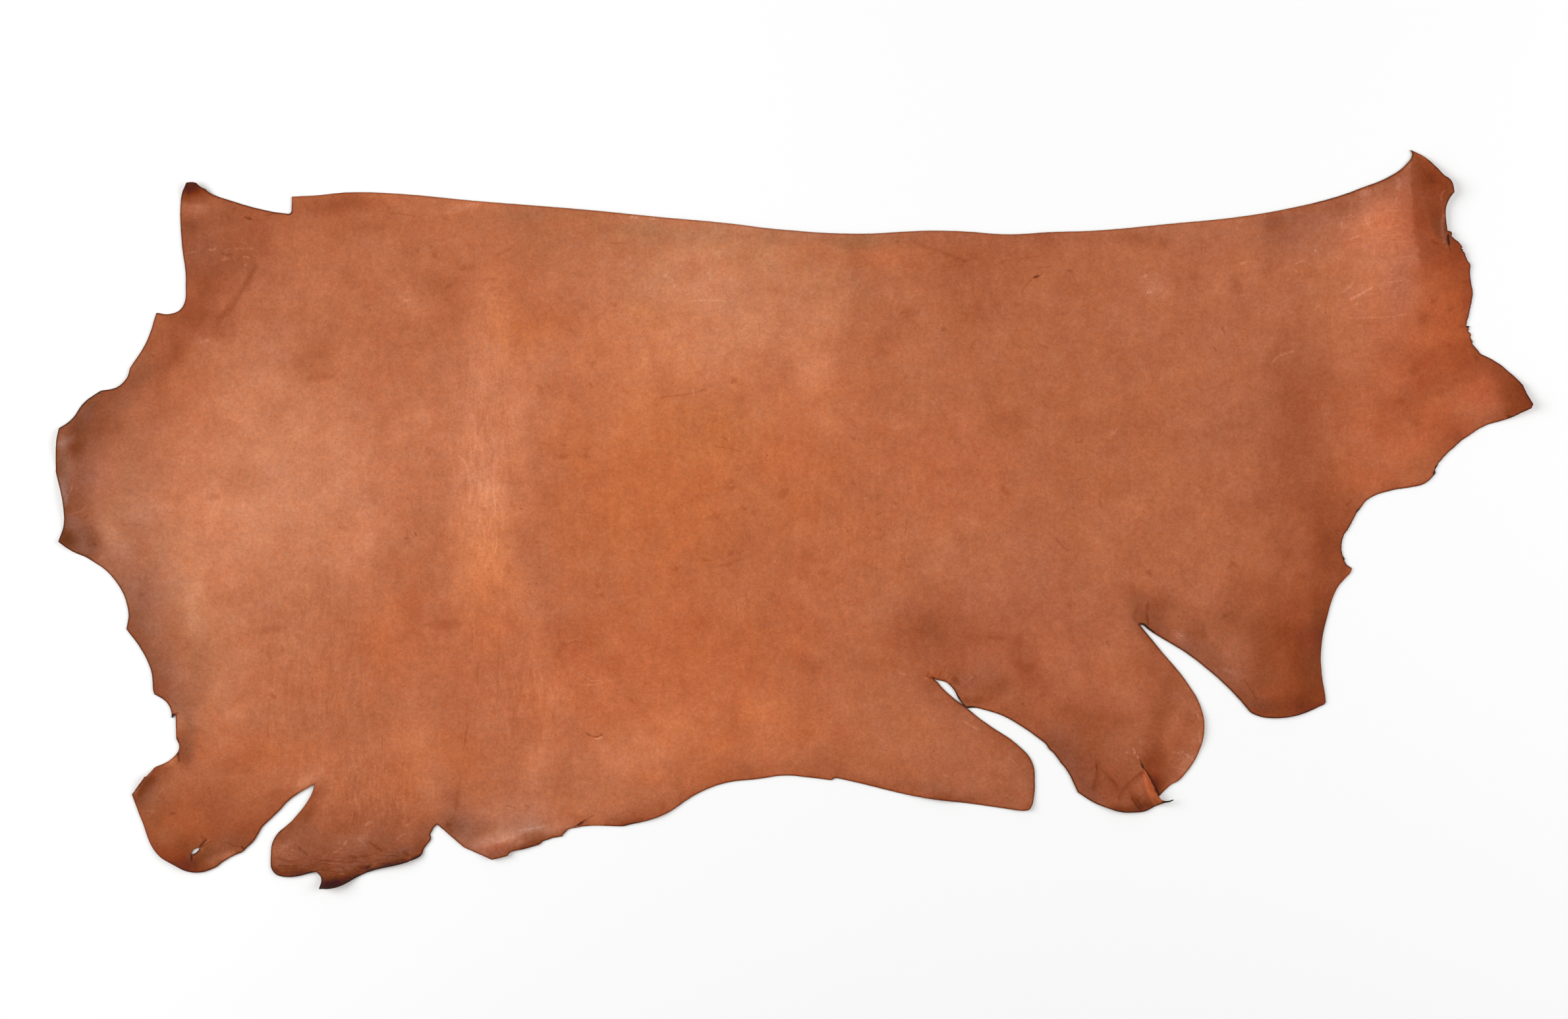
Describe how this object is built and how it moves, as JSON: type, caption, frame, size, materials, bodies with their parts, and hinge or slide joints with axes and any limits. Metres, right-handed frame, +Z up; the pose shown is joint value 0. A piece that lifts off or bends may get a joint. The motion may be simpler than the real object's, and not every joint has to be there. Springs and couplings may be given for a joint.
{
  "type": "leather hide",
  "caption": "One side of thick tan leather lying flat, grain side up, with a straight back edge, shank flaps and slits along its belly, and a rim that curls up.",
  "frame": {"origin": "middle of the hide's bounding box, on the surface it lies on", "axes": "+X along the hide's length towards the narrower end, +Y towards the straight back edge, +Z up, out of the grain side"},
  "size_m": [2.4662, 1.234, 0.0183],
  "materials": {
    "leather": "smooth full-grain tan leather with a soft low sheen, darker cut edges and a suede-like underside"
  },
  "bodies": {
    "root": {"hide": "leather"}
  },
  "joints": []
}
